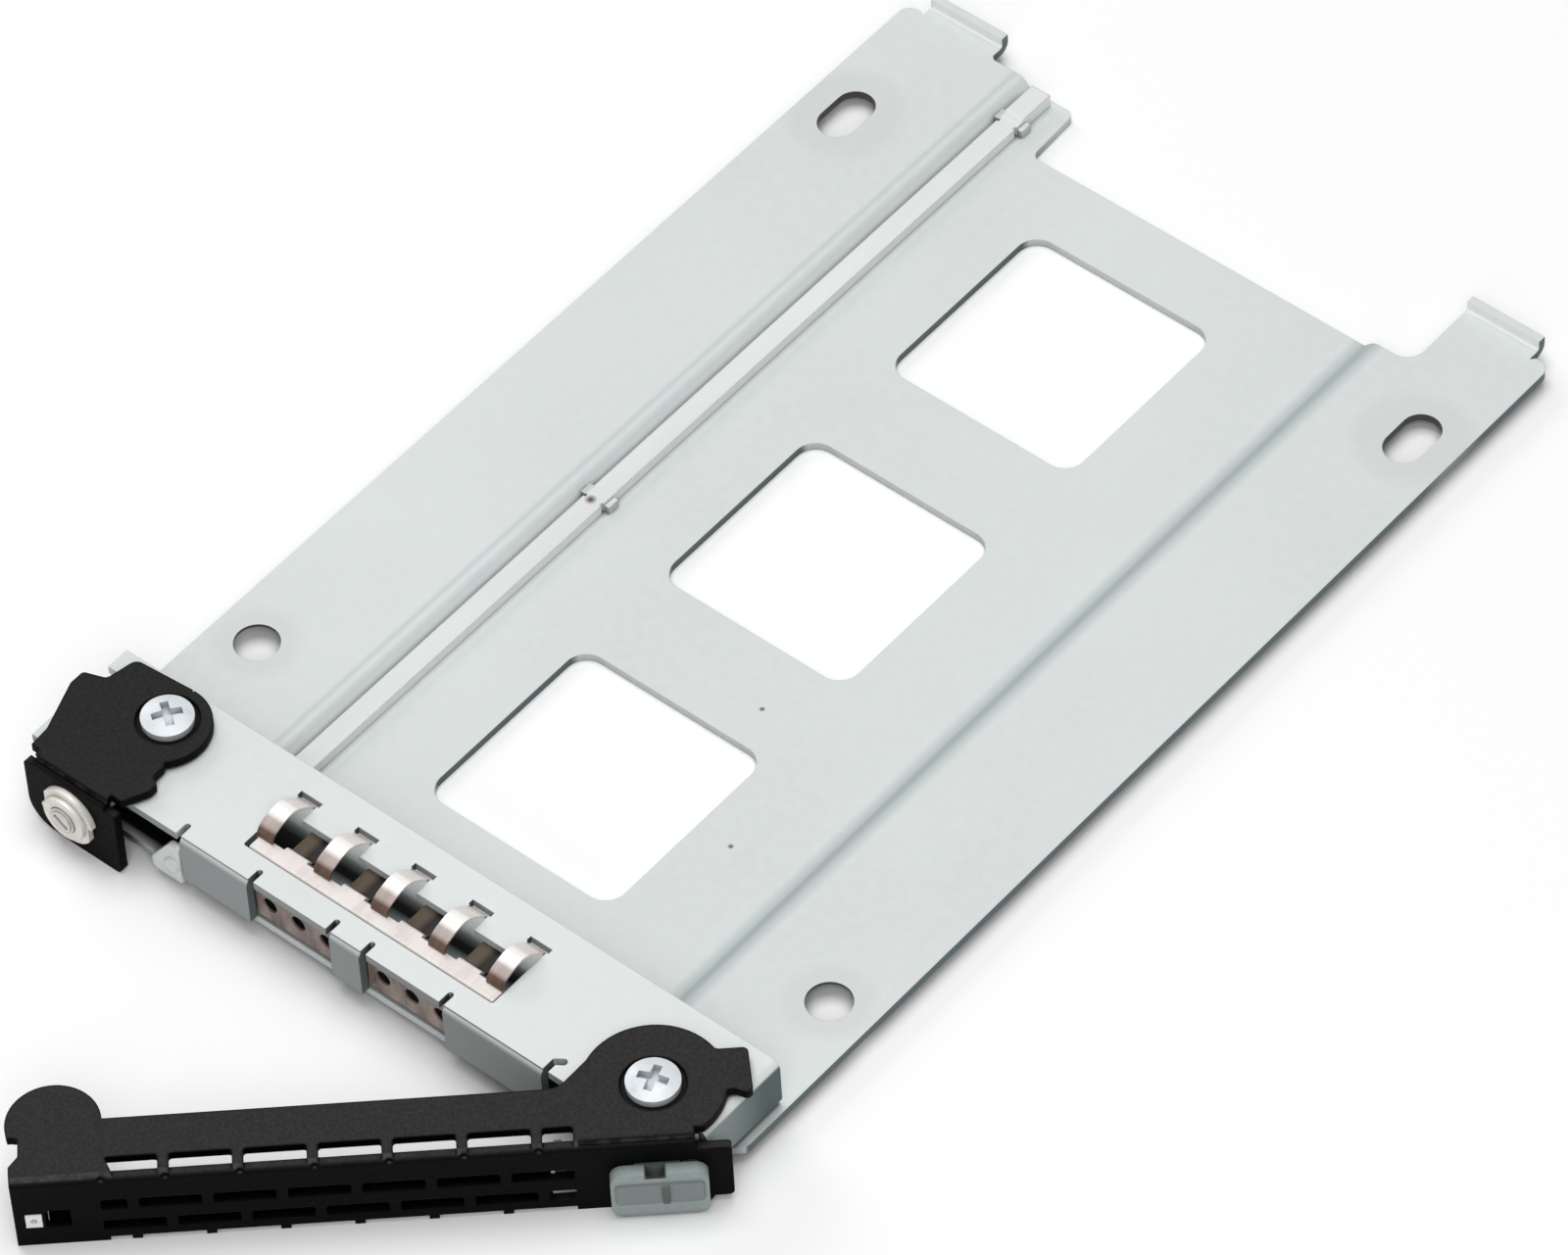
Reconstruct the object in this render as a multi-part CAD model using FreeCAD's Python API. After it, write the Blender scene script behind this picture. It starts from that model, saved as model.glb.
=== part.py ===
import FreeCAD, Part
import math
import os

# Drive caddy for a 2.5 inch drive.
# X runs across the caddy, Y from the front to the rear, Z upward, all in millimetres.
# The origin lies midway between the two front drive holes on the seat plane of the drive.

V = FreeCAD.Vector

# Drive hole pattern
hole_span = 61.72
hole_run = 76.60
hole_edge = 4.29
hole_d = 4.0
sink_d = 6.2
sink_depth = 0.5
slot_width = 3.6
slot_length = 6.0

# Tray plate
sheet = 0.8
half_width = hole_span / 2 + hole_edge
panel_drop = 1.1
joggle_outer = 22.2
joggle_big_r = 1.2
joggle_small_r = 0.4
joggle_rise = panel_drop - (joggle_big_r + joggle_small_r) * (1 - math.cos(math.pi / 4))
joggle_run = (joggle_big_r + joggle_small_r) * math.sin(math.pi / 4) + joggle_rise
joggle_front = -13.2
front_edge = -21.72
panel_rear = 83.3
prong_rear = 89.5
wing_rear = 90.2
prong_in_left = -15.6
prong_in_right = half_width - 9.55
window = 19.9
window_x = 0.1
window_first = 7.0
window_pitch = 29.7
window_r = 2.0
window_count = 3
lip_inner = 91.1
lip_height = 1.0
lip_bend = 0.3
relief = 0.4
wing_r = 1.2
lip_inset = 1.95
lip_left = (-half_width + lip_inset, -half_width + 9.95)
lip_right = (prong_in_right, half_width - lip_inset)
cut_right_y = -15.4
cut_front_x = half_width - 7.0

# Light pipe
pipe_x = 3.05 - joggle_outer
pipe_w = 2.0
pipe_h = 1.0
pipe_rear = 89.0
pipe_front = -22.9
pipe_block_back = -22.0
pipe_block_left = pipe_x - 2.85
pipe_block_right = pipe_x + 0.4
pipe_block_top = 3.6
pipe_foot = -0.75
clip_y = 30.0
clip_long = 1.2
clip_thick = 0.5
clip_high = 0.85
clip_gap = 0.05

# Front bridge
bridge_top = 5.3
bridge_inset = 0.55
bridge_x = half_width - bridge_inset
bridge_rear = -10.3
bridge_front = -22.6
bridge_edge = -22.3
bend_in = 0.1
panel_foot = 0.1
ear_reach = 0.8
ear_rear = (-12.6, bridge_rear)
ear_front = (-21.8, -17.9)
side_right = (-19.3, bridge_rear)
side_left = (-17.5, -13.0)
foot_reach = 6.0
foot_right = (-14.8, -10.6)
foot_left = (-17.3, -13.2)
front_panels = ((-18.5, -11.2), (-2.3, 0.9), (9.8, 20.2))
relief_w = 0.55
relief_deep = 1.1
slot_left = -13.95
slot_right = 12.75
slot_near = -19.8
slot_far = -15.0
notch_far = -13.2
bar_far = -12.7
bar_w = 2.3
finger_first = -12.8
finger_pitch = 6.15
finger_count = 5
finger_w = 1.7

# Spring finger strip
spring_t = 0.2
strip_gap_left = 0.5
strip_gap_right = 0.12
band_rear = -18.3
crest_y = -16.0
crest_z = 7.0
tip_y = -13.0
wall_y = -21.6
wall_foot = 0.35
wall_hole_z = 2.35
wall_hole_d = 1.5
wall_hole_first = -9.75
wall_hole_pitch = 3.05
wall_hole_count = 7
tongue_w = 2.4
tongue_tip = -13.9

# Pivots
handle_pivot = (bridge_x - 5.95, -18.65)
hook_pivot = (-bridge_x + 7.6, -14.4)
washer_t = 0.3
washer_d = 7.0
boss_d = 3.6
boss_play = 0.05
post_d = 4.4
post_low = 1.4
screw_d = 2.4
screw_bore = 2.5
head_d = 4.5
head_h = 1.05
recess_d = 5.4
recess_deep = 0.25
cross_w = 0.7
cross_l = 2.6
cross_deep = 0.8

# Black sheet parts
black_t = 0.8
black_low = bridge_top + washer_t
black_top = black_low + black_t
face_low = -1.9
fold_in = 0.25
fold_out = fold_in + black_t
groove_w = 0.4
groove_deep = 0.35
face_v = -5.6

# Corner hook
hook_face = handle_pivot[1] + face_v
hook_face_left = -half_width + 1.05
hook_face_right = hook_face_left + 10.0
hook_bend_left = hook_face_left + 1.0
hook_bend_right = hook_face_right - 1.1
hook_lobe = (hook_pivot[0] - 0.1, hook_pivot[1] - 0.6)
hook_lobe_r = 4.2
hook_to_handle = 1.85

# Pull handle, drawn closed along X from its pivot and then swung open
open_angle = 42.8
arm_left = hook_face_right + hook_to_handle - handle_pivot[0]
arm_right = 3.0
tab_right = 5.85
tab_low = -1.2
tab_top = 4.8
arm_back = 0.1
pivot_lobe_r = 5.9
end_lobe = (arm_left + 3.55, -0.1)
end_lobe_r = 3.85
grille_pitch = 5.87
grille_slot = 5.0
grille_left = arm_left + 6.95
grille_right = -6.5
vent_far = -3.75
vent_low = 5.9
row_high = 1.3
row_two = 2.6
row_three = 0.0
grille_low = -1.45
tooth_w = 0.8
dimple_r = 0.4
dimple_shift = 0.3
dimple_drop = 0.15
window_light = (arm_left + 1.55, 1.2, 1.4, 1.6)
window_dark = (arm_left + 3.5, 1.25, 2.0, 2.2)
screen_t = 0.25
screen_low = -1.35
screen_top = 3.6

# Release slider
button_half = 3.9
button_low = -1.7
button_top = 3.4
button_r = 1.1
button_proud = 1.2
slide_gap = 0.05
slide_travel = 1.2
stem_left = -1.9
stem_right = 1.7
stem_low = 1.1
stem_top = 3.3
stem_play = 0.25
bolt_left = -8.2
bolt_low = 0.9
bolt_top = 3.5
bolt_t = 1.0
nib_reach = -2.5
nib_w = 0.7
keeper_left = -6.15
keeper_right = 1.9
keeper_t = 0.4
coil_left = -5.95
coil_right = -3.95
coil_r = 0.4
coil_wire = 0.2

# Key lock in the corner hook
lock_x = hook_face_left + 4.9
lock_z = 2.2
lock_flange_d = 5.6
lock_body_d = 3.8
lock_proud = 0.55
lock_rear = -19.5
core_d = 2.6
core_play = 0.05
core_proud = 0.3
key_w = 0.5
key_l = 1.6
cam_t = 0.6
cam_reach = 2.8
cam_w = 2.2
cam_slot_left = 1.4
cam_slot_right = 2.6
clip_ring_d = 5.6
clip_ring_t = 0.4

# Torsion springs
torsion_wire = 0.45
torsion_turns = 3
torsion_low = 1.75
handle_legs = ((270, 6.0), (330, 5.2))
hook_legs = ((240, 5.5), (180, 4.2))

# Rivets of the bridge feet
rivet_d = 1.6
rivet_head_d = 2.6
rivet_head_h = 0.4
rivet_x = bridge_x - 3.3
rivet_spots = ((rivet_x, -11.7), (rivet_x, -13.7), (-rivet_x, -14.3), (-rivet_x, -16.3))


def box(x0, x1, y0, y1, z0, z1):
    """Plain block between six planes."""
    return Part.makeBox(x1 - x0, y1 - y0, z1 - z0, V(x0, y0, z0))


def drum(x, y, z0, z1, d):
    """Upright cylinder."""
    return Part.makeCylinder(d / 2, z1 - z0, V(x, y, z0))


def drum_y(x, z, y0, y1, d):
    """Cylinder along Y."""
    return Part.makeCylinder(d / 2, y1 - y0, V(x, y0, z), V(0, 1, 0))


def corner_wire(points, place):
    """Closed wire through corners (a, b, radius); place turns (a, b) into a vector."""
    edges = []
    ends = []
    count = len(points)
    for i in range(count):
        here = V(points[i][0], points[i][1], 0)
        before = V(points[i - 1][0], points[i - 1][1], 0)
        after = V(points[(i + 1) % count][0], points[(i + 1) % count][1], 0)
        r = points[i][2]
        to_before = (before - here).normalize()
        to_after = (after - here).normalize()
        if r <= 0:
            ends.append((here, None, here))
            continue
        half = to_before.getAngle(to_after) / 2
        reach = r / math.tan(half)
        centre = here + (to_before + to_after).normalize() * (r / math.sin(half))
        middle = centre + (here - centre).normalize() * r
        ends.append((here + to_before * reach, middle, here + to_after * reach))
    for i in range(count):
        start, middle, end = ends[i]
        following = ends[(i + 1) % count][0]
        if middle is not None:
            edges.append(Part.Arc(place(start), place(middle), place(end)).toShape())
        if (following - end).Length > 1e-6:
            edges.append(Part.makeLine(place(end), place(following)))
    return Part.Wire(edges)


def slab(points, z0, z1):
    """Upright prism over a rounded outline in X and Y."""
    wire = corner_wire(points, lambda p: V(p.x, p.y, z0))
    return Part.Face(wire).extrude(V(0, 0, z1 - z0))


def slab_y(points, y0, y1):
    """Prism along Y over a rounded outline in X and Z."""
    wire = corner_wire(points, lambda p: V(p.x, y0, p.y))
    return Part.Face(wire).extrude(V(0, y1 - y0, 0))


def slab_x(points, x0, x1):
    """Prism along X over a rounded outline in Y and Z."""
    wire = corner_wire(points, lambda p: V(x0, p.x, p.y))
    return Part.Face(wire).extrude(V(x1 - x0, 0, 0))


def pill(x, y, long, wide, z0, z1):
    """Slot with round ends along Y."""
    half = (long - wide) / 2
    straight = box(x - wide / 2, x + wide / 2, y - half, y + half, z0, z1)
    ends = [drum(x, y - half, z0, z1, wide), drum(x, y + half, z0, z1, wide)]
    return straight.multiFuse(ends).removeSplitter()


def clean(shape):
    """Drop seams left inside flat faces."""
    return shape.removeSplitter()


def swing(shape):
    """Put a handle part drawn closed at the origin into its open place."""
    turned = shape.copy()
    turned.rotate(V(0, 0, 0), V(0, 0, 1), open_angle)
    turned.translate(V(handle_pivot[0], handle_pivot[1], 0))
    return turned


def joggle_edge(start, level, step, upper_r, lower_r, top):
    """Cross-section of the sunken panel: half outlines joined into a closed pan."""
    run = joggle_run
    c = math.sqrt(0.5)
    edges = []
    a = V(start, level, 0)
    up_mid = V(start - upper_r * math.sin(math.pi / 8), level - upper_r * (1 - math.cos(math.pi / 8)), 0)
    up_end = V(start - upper_r * c, level - upper_r * (1 - c), 0)
    b = V(start - run, level - step, 0)
    base = level - step
    eighth = math.pi / 8
    low_mid = V(start - run + lower_r * math.sin(eighth), base + lower_r * (1 - math.cos(eighth)), 0)
    low_end = V(start - run + lower_r * c, base + lower_r * (1 - c), 0)
    edges.append((a, up_mid, up_end))
    edges.append((up_end, None, low_end))
    edges.append((low_end, low_mid, b))
    return [(V(start, top, 0), None, a)] + edges


def run_edges(pieces, place):
    """Turn (start, middle, end) triples into lines and arcs."""
    made = []
    for start, middle, end in pieces:
        if middle is None:
            made.append(Part.makeLine(place(start), place(end)))
        else:
            made.append(Part.Arc(place(start), place(middle), place(end)).toShape())
    return made


def mirrored(piece):
    """The same (start, middle, end) piece on the other side, run backward."""
    start, middle, end = piece
    other = None if middle is None else V(-middle.x, middle.y, 0)
    return (V(-end.x, end.y, 0), other, V(-start.x, start.y, 0))


def pan(level, upper_r, lower_r, top):
    """Solid of the sunken panel below one face of the sheet."""
    rear = panel_rear + 20
    right = joggle_edge(joggle_outer, level, panel_drop, upper_r, lower_r, top)
    left = [mirrored(piece) for piece in reversed(right)]
    pieces = right + [(right[-1][2], None, left[0][0])] + left + [(left[-1][2], None, right[0][0])]
    across = Part.Face(Part.Wire(run_edges(pieces, lambda p: V(p.x, joggle_front, p.y))))
    along_y = across.extrude(V(0, rear - joggle_front, 0))
    front = joggle_edge(-joggle_front, level, panel_drop, upper_r, lower_r, top)
    close = [(front[-1][2], None, V(-rear, level - panel_drop, 0))]
    close.append((V(-rear, level - panel_drop, 0), None, V(-rear, top, 0)))
    close.append((V(-rear, top, 0), None, front[0][0]))
    side = Part.Face(Part.Wire(run_edges(front + close, lambda p: V(-half_width, -p.x, p.y))))
    along_x = side.extrude(V(2 * half_width, 0, 0))
    return along_y.common(along_x)


def tray_outline():
    """Outer edge of the tray plate."""
    left, right = lip_left, lip_right
    bend = lip_inner - lip_bend
    points = [(-half_width, front_edge, 1.2), (cut_front_x, front_edge, 1.0), (half_width, cut_right_y, 1.0)]
    points += [(half_width, wing_rear, wing_r), (right[1] + relief, wing_rear, 0.2)]
    points += [(right[1], wing_rear - relief, 0), (right[1], bend, 0), (prong_in_right, bend, 0)]
    points += [(prong_in_right, panel_rear, 1.8), (prong_in_left, panel_rear, 0.8)]
    points += [(prong_in_left - 0.3, prong_rear, 0.8), (left[1] + relief, prong_rear, 0.2)]
    points += [(left[1], wing_rear - relief, 0), (left[1], bend, 0), (left[0], bend, 0)]
    points += [(left[0], wing_rear - relief, 0), (left[0] - relief, wing_rear, 0.2)]
    points += [(-half_width, wing_rear, wing_r)]
    return points


def rear_lip(span):
    """Stop lip bent up at the rear end of a wing."""
    low = lip_inner - lip_bend
    points = [(low, -sheet, 0), (lip_inner + sheet, -sheet, lip_bend + sheet)]
    points += [(lip_inner + sheet, lip_height, 0), (lip_inner, lip_height, 0)]
    points += [(lip_inner, 0, lip_bend), (low, 0, 0)]
    return slab_x(points, span[0], span[1])


def make_tray_plate():
    """Tray plate: two wings, a sunken panel with windows, rear stop lips and pipe clips."""
    body = box(-60, 60, -60, panel_rear + 40, -sheet, 0)
    body = body.fuse(pan(-sheet, joggle_small_r, joggle_big_r, -sheet / 2))
    body = body.cut(pan(0, joggle_big_r, joggle_small_r, 2.0))
    body = body.common(slab(tray_outline(), -3, 1))
    lips = [rear_lip(lip_left), rear_lip(lip_right)]
    for y in (clip_y, clip_y + 55):
        for side in (-1, 1):
            near = pipe_x + side * (pipe_w / 2 + clip_gap)
            far = near + side * clip_thick
            low = -panel_drop - sheet / 2
            high = -panel_drop + clip_high
            lips.append(box(min(near, far), max(near, far), y - clip_long / 2, y + clip_long / 2, low, high))
    body = body.multiFuse(lips)
    cuts = []
    for i in range(window_count):
        y = window_first + i * window_pitch
        h = window / 2
        ring = [(window_x - h, y - h, window_r), (window_x + h, y - h, window_r)]
        ring += [(window_x + h, y + h, window_r), (window_x - h, y + h, window_r)]
        cuts.append(slab(ring, -3, 1))
    for side in (-1, 1):
        x = side * hole_span / 2
        cuts.append(drum(x, 0, -3, 1, hole_d))
        cuts.append(Part.makeCone(sink_d / 2, hole_d / 2, sink_depth, V(x, 0, -sheet)))
        cuts.append(pill(x, hole_run, slot_length, slot_width, -3, 1))
    for x, y in rivet_spots:
        cuts.append(drum(x, y, -3, 1, rivet_d))
    cam_y = lock_rear + cam_t / 2
    cuts.append(box(lock_x - cam_slot_left, lock_x + cam_slot_right, cam_y - 0.65, cam_y + 0.9, -3, 1))
    return clean(body.cut(Part.makeCompound(cuts)))


def make_light_pipe():
    """Clear rod on the panel, raised over the front strip to a lit end block."""
    low = -panel_drop
    top = low + pipe_h
    rise = 0.03
    ramp = joggle_front + joggle_run + 0.6
    flat = joggle_front + 0.3
    points = [(pipe_rear, low, 0), (pipe_rear, top + 0.3, 0), (pipe_rear - 3.6, top + 0.3, 0.3)]
    points += [(pipe_rear - 4.2, top, 0.3)]
    points += [(ramp, top, 0.5), (flat, rise + pipe_h, 0.5), (pipe_block_back - 0.2, rise + pipe_h, 0)]
    points += [(pipe_block_back - 0.2, rise, 0), (flat, rise, 0.5), (ramp, low, 0.5)]
    rod = slab_x(points, pipe_x - pipe_w / 2, pipe_x + pipe_w / 2)
    notches = []
    for y in (clip_y, clip_y + 55):
        for side in (-1, 1):
            x = pipe_x + side * pipe_w / 2
            end = y - clip_long / 2
            notches.append(box(x - 0.2, x + 0.2, end - 0.3, end, low - 1, top + 1))
    rod = rod.cut(Part.makeCompound(notches))
    high = pipe_block_top
    left = pipe_block_left
    right = pipe_block_right
    shape = [(left, pipe_foot, 0.3), (right, pipe_foot, 0.2), (right, high, 0.3)]
    shape += [(right - 1.1, high, 0.6), (left, 0.6, 0.5)]
    block = slab_y(shape, pipe_front + 0.3, pipe_block_back)
    bead = drum_y(pipe_x - 0.5, 1.1, pipe_front + 0.05, pipe_front + 0.4, 1.5)
    trim = box(pipe_block_right, pipe_x + 2, pipe_front, pipe_block_back + 0.8, -1, 4)
    return clean(rod.cut(trim).multiFuse([block, bead]))


def finger_x(i):
    """Middle of a spring finger."""
    return finger_first + i * finger_pitch


def bridge_profile():
    """Section of the bridge across X: top, two sides and two inward feet."""
    low = bridge_top - sheet
    out_r = bend_in + sheet
    reach = bridge_x - foot_reach
    half = [(reach, 0, 0), (bridge_x, 0, out_r), (bridge_x, bridge_top, out_r)]
    inner = [(bridge_x - sheet, low, bend_in), (bridge_x - sheet, sheet, bend_in), (reach, sheet, 0)]
    left = [(-x, z, r) for x, z, r in reversed(half)]
    left_in = [(-x, z, r) for x, z, r in reversed(inner)]
    return half + left + left_in + inner


def front_panel(x0, x1):
    """One section of the bridge bent down at the front."""
    out_r = bend_in + sheet
    low = bridge_top - sheet
    foot = panel_foot
    points = [(bridge_front, foot, 0), (bridge_front + sheet, foot, 0), (bridge_front + sheet, low, bend_in)]
    points += [(bridge_edge + 2.0, low, 0), (bridge_edge + 2.0, bridge_top, 0)]
    points += [(bridge_front, bridge_top, out_r)]
    return slab_x(points, x0, x1)


def make_front_bridge():
    """Bridge across the front of the tray with its bent sections and the spring slot."""
    body = slab_y(bridge_profile(), bridge_edge, bridge_rear)
    under = bridge_top - sheet - bend_in
    top_under = bridge_top - sheet
    cuts = [box(bridge_x - sheet - bend_in, 40, -30, side_right[0], -1, under)]
    cuts.append(box(bridge_x - sheet - bend_in, 40, -30, side_right[0], under, bridge_top + 1))
    cuts.append(box(0, bridge_x - sheet, -30, foot_right[0], -1, 2))
    cuts.append(box(0, bridge_x - sheet, foot_right[1], 0, -1, 2))
    cuts.append(box(-bridge_x + sheet, 0, -30, foot_left[0], -1, 2))
    cuts.append(box(-bridge_x + sheet, 0, foot_left[1], 0, -1, 2))
    cuts.append(box(-40, -bridge_x + sheet + bend_in, -30, side_left[0], -1, bridge_top + 1))
    cuts.append(box(-40, -bridge_x + sheet + bend_in, side_left[1], 0, -1, bridge_top + 1))
    body = body.cut(Part.makeCompound(cuts))
    adds = [front_panel(x0, x1) for x0, x1 in front_panels]
    in_x = -bridge_x + sheet + bend_in
    adds.append(box(-bridge_x, in_x, bridge_edge, side_left[0] - 0.4, top_under, bridge_top))
    adds.append(box(-bridge_x, in_x, side_left[1] + 0.4, bridge_rear, top_under, bridge_top))
    for y0, y1 in (ear_rear, ear_front):
        adds.append(box(-bridge_x - ear_reach, -bridge_x, y0, y1, top_under, bridge_top))
    out_x = bridge_x - sheet - bend_in
    adds.append(box(out_x, bridge_x, bridge_edge, side_right[0] - 0.4, top_under, bridge_top))
    body = body.multiFuse(adds)
    holes = []
    for x0, x1 in front_panels:
        for a, b in ((x0 - relief_w, x0), (x1, x1 + relief_w)):
            mid = (a + b) / 2
            holes.append(box(a, b, -30, bridge_edge + relief_deep, top_under - 1, bridge_top + 1))
            holes.append(drum(mid, bridge_edge + relief_deep, top_under - 1, bridge_top + 1, relief_w))
    turn = [(20.2, -21.4, 0), (20.75, -21.4, 0), (21.5, -20.9, 0.3), (21.2, -20.3, 0.3), (20.2, -21.0, 0.3)]
    holes.append(slab(turn, top_under - 1, bridge_top + 1))
    face = V(-math.sin(math.radians(open_angle)), math.cos(math.radians(open_angle)), 0)
    clear = Part.makeBox(30, 20, 8, V(-15, -20, 0))
    clear.rotate(V(0, 0, 0), V(0, 0, 1), open_angle)
    reach = face_v + black_t + 0.3
    clear.translate(V(handle_pivot[0], handle_pivot[1], 0) + face * reach)
    holes.append(clear)
    spring = [(slot_left, slot_near, 0.2), (slot_right, slot_near, 0.2)]
    spring += [(slot_right, slot_far, 0.2), (slot_left, slot_far, 0.2)]
    holes.append(slab(spring, top_under - 1, bridge_top + 1))
    for i in range(finger_count):
        x = finger_x(i)
        holes.append(box(x - 1.0, x + 0.95, slot_far - 0.5, notch_far, top_under - 1, bridge_top + 1))
        half = bar_w / 2
        holes.append(box(x - half, x + half, notch_far - 0.05, bar_far, top_under - 1, bridge_top + 1))
    for x, y in (handle_pivot, hook_pivot):
        holes.append(drum(x, y, top_under - 1, bridge_top + 1, boss_d))
    for x, y in rivet_spots:
        holes.append(drum(x, y, -1, sheet + 0.5, rivet_d))
    return clean(body.cut(Part.makeCompound(holes)))


def spring_path(offset):
    """Side curve of one arched finger at a distance from its lower face."""
    z0 = bridge_top - spring_t
    low = [V(0, band_rear, z0), V(0, band_rear + 0.25, z0 + 0.9), V(0, crest_y - 0.7, crest_z - 0.35)]
    low += [V(0, crest_y, crest_z - spring_t), V(0, crest_y + 1.3, crest_z - 0.75)]
    low += [V(0, tip_y - 0.75, z0 + 0.35), V(0, tip_y - 0.05, z0 - 0.55)]
    out = []
    for i in range(len(low)):
        before = low[max(i - 1, 0)]
        after = low[min(i + 1, len(low) - 1)]
        t = (after - before).normalize()
        n = V(0, -t.z, t.y)
        out.append(low[i] + n * offset)
    return out


def finger_blade(x):
    """Arched spring finger."""
    lower = spring_path(0)
    upper = spring_path(spring_t)
    a = Part.BSplineCurve()
    a.interpolate(lower)
    b = Part.BSplineCurve()
    b.interpolate(upper)
    tip = Part.makeLine(lower[-1], upper[-1])
    root = Part.makeLine(upper[0], lower[0])
    wire = Part.Wire([a.toShape(), tip, b.toShape(), root])
    blade = Part.Face(wire).extrude(V(finger_w, 0, 0))
    blade.translate(V(x - finger_w / 2, 0, 0))
    return blade


def make_spring_strip():
    """Spring strip: front wall with holes, band in the slot, arched fingers and rear tongues."""
    under = bridge_top - sheet
    left = slot_left + strip_gap_left
    right = slot_right - strip_gap_right
    t = spring_t
    band_low = bridge_top - t
    near = slot_near + 0.1
    points = [(wall_y, wall_foot, 0), (wall_y + t, wall_foot, 0), (wall_y + t, under - t, 0.15)]
    points += [(near + t, under - t, 0.1), (near + t, band_low, 0.1), (band_rear + 0.1, band_low, 0)]
    points += [(band_rear + 0.1, bridge_top, 0), (near, bridge_top, 0.25)]
    points += [(near, under, 0.1), (wall_y, under, 0.3)]
    strip = slab_x(points, left, right)
    parts = [finger_blade(finger_x(i)) for i in range(finger_count)]
    for i in range(finger_count - 1):
        x = finger_x(i) + finger_pitch / 2
        low = under - t
        tongue = [(band_rear, bridge_top, 0), (band_rear, band_low, 0), (band_rear + 0.3, band_low, 0.15)]
        tongue += [(band_rear + 0.8, low, 0.3), (tongue_tip, low, 0), (tongue_tip, under, 0)]
        tongue += [(band_rear + 0.95, under, 0.15), (band_rear + 0.45, bridge_top, 0.3)]
        parts.append(slab_x(tongue, x - tongue_w / 2, x + tongue_w / 2))
    strip = strip.multiFuse(parts)
    holes = []
    for i in range(wall_hole_count):
        x = wall_hole_first + i * wall_hole_pitch
        holes.append(drum_y(x, wall_hole_z, wall_y - 1, wall_y + 1, wall_hole_d))
    return clean(strip.cut(Part.makeCompound(holes)))


def clinch_post(pivot):
    """Post pressed into the bridge that carries a pivot and takes its screw."""
    x, y = pivot
    under = bridge_top - sheet
    body = drum(x, y, post_low, under, post_d)
    neck = drum(x, y, under, black_top - recess_deep + boss_play, boss_d)
    bore = drum(x, y, post_low - 1, black_top + 1, screw_bore)
    return clean(body.fuse(neck).cut(bore))


def pivot_washer(pivot):
    """Slip washer between the bridge and a black sheet part."""
    x, y = pivot
    ring = drum(x, y, bridge_top, black_low, washer_d)
    return ring.cut(drum(x, y, bridge_top - 1, black_low + 1, boss_d + 0.1))


def pivot_screw(pivot, turn):
    """Cross-recessed screw with a low domed head."""
    x, y = pivot
    z = black_top - recess_deep + boss_play
    shank = drum(x, y, post_low + 0.3, z, screw_d)
    dome_r = (head_d * head_d / 4 + 0.16) / 0.8
    rim = head_h - 0.4
    head = drum(x, y, z, z + head_h, head_d)
    ball = Part.makeSphere(dome_r, V(x, y, z + rim + 0.4 - dome_r))
    head = head.common(ball)
    a = box(-cross_l / 2, cross_l / 2, -cross_w / 2, cross_w / 2, 0, 2)
    b = box(-cross_w / 2, cross_w / 2, -cross_l / 2, cross_l / 2, 0, 2)
    cross = a.fuse(b)
    cross.rotate(V(0, 0, 0), V(0, 0, 1), turn)
    cross.translate(V(x, y, z + head_h - cross_deep))
    return clean(head.fuse(shank).cut(cross))


def rounded_slot(u0, u1, z0, z1, r):
    """Opening through the front face of a black part."""
    ring = [(u0, z0, r), (u1, z0, r), (u1, z1, r), (u0, z1, r)]
    return slab_y(ring, face_v - 1, face_v + black_t + 0.6)


def handle_plate():
    """Top plate of the handle with pivot lobe, side hook and end lobe."""
    edge = face_v + fold_out
    end = arm_left
    points = [(end, edge, 0), (end, -4.2, 0.3), (end + 0.75, -3.2, 0.2), (end + 0.75, -1.4, 0.2)]
    points += [(end - 0.2, -1.2, 0.3), (end + 0.9, 1.5, 0), (end + 5.9, 1.5, 0), (end + 7.0, arm_back, 1.2)]
    points += [(-7.6, arm_back, 2.0), (-5.0, 3.0, 0), (4.2, 3.6, 0), (5.2, 3.05, 0.6), (7.6, 3.05, 0.5)]
    points += [(7.85, -1.8, 0.5), (6.3, -1.0, 0.3), (5.65, -1.1, 0.3), (4.9, -3.3, 0)]
    points += [(arm_right + 0.15, edge, 0)]
    plate = slab(points, black_low, black_top)
    lobe = drum(end_lobe[0], end_lobe[1], black_low, black_top, 2 * end_lobe_r)
    lobe = lobe.cut(box(end - 9, end_lobe[0] - 0.65, -6, -1.3, 0, 9))
    hub = drum(0, 0, black_low, black_top, 2 * pivot_lobe_r)
    hub = hub.cut(box(-20, 20, -9, edge, 0, 9))
    return plate.multiFuse([lobe, hub])


def fold_groove(a, b, face):
    """Groove pressed along the outside of a fold, from a to b."""
    groove = box(a, b, -fold_out - 1, groove_deep - fold_out, -groove_w / 2, groove_w / 2)
    groove.rotate(V(0, 0, 0), V(1, 0, 0), -45)
    groove.translate(V(0, face + fold_out, black_top - fold_out))
    return groove


def handle_fold():
    """Bend and front face of the handle."""
    face_in = face_v + black_t
    points = [(face_v, face_low, 0), (face_in, face_low, 0), (face_in, black_low, fold_in)]
    points += [(face_v + fold_out, black_low, 0), (face_v + fold_out, black_top, 0)]
    points += [(face_v, black_top, fold_out)]
    strip = slab_x(points, arm_left, arm_right)
    low = [(arm_right, face_low, 0), (3.9, face_low, 0.4), (4.3, tab_low, 0.2), (tab_right, tab_low, 0.5)]
    low += [(tab_right, tab_top, 0.4), (arm_right, tab_top, 0)]
    return strip.fuse(slab_y(low, face_v, face_in))


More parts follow.
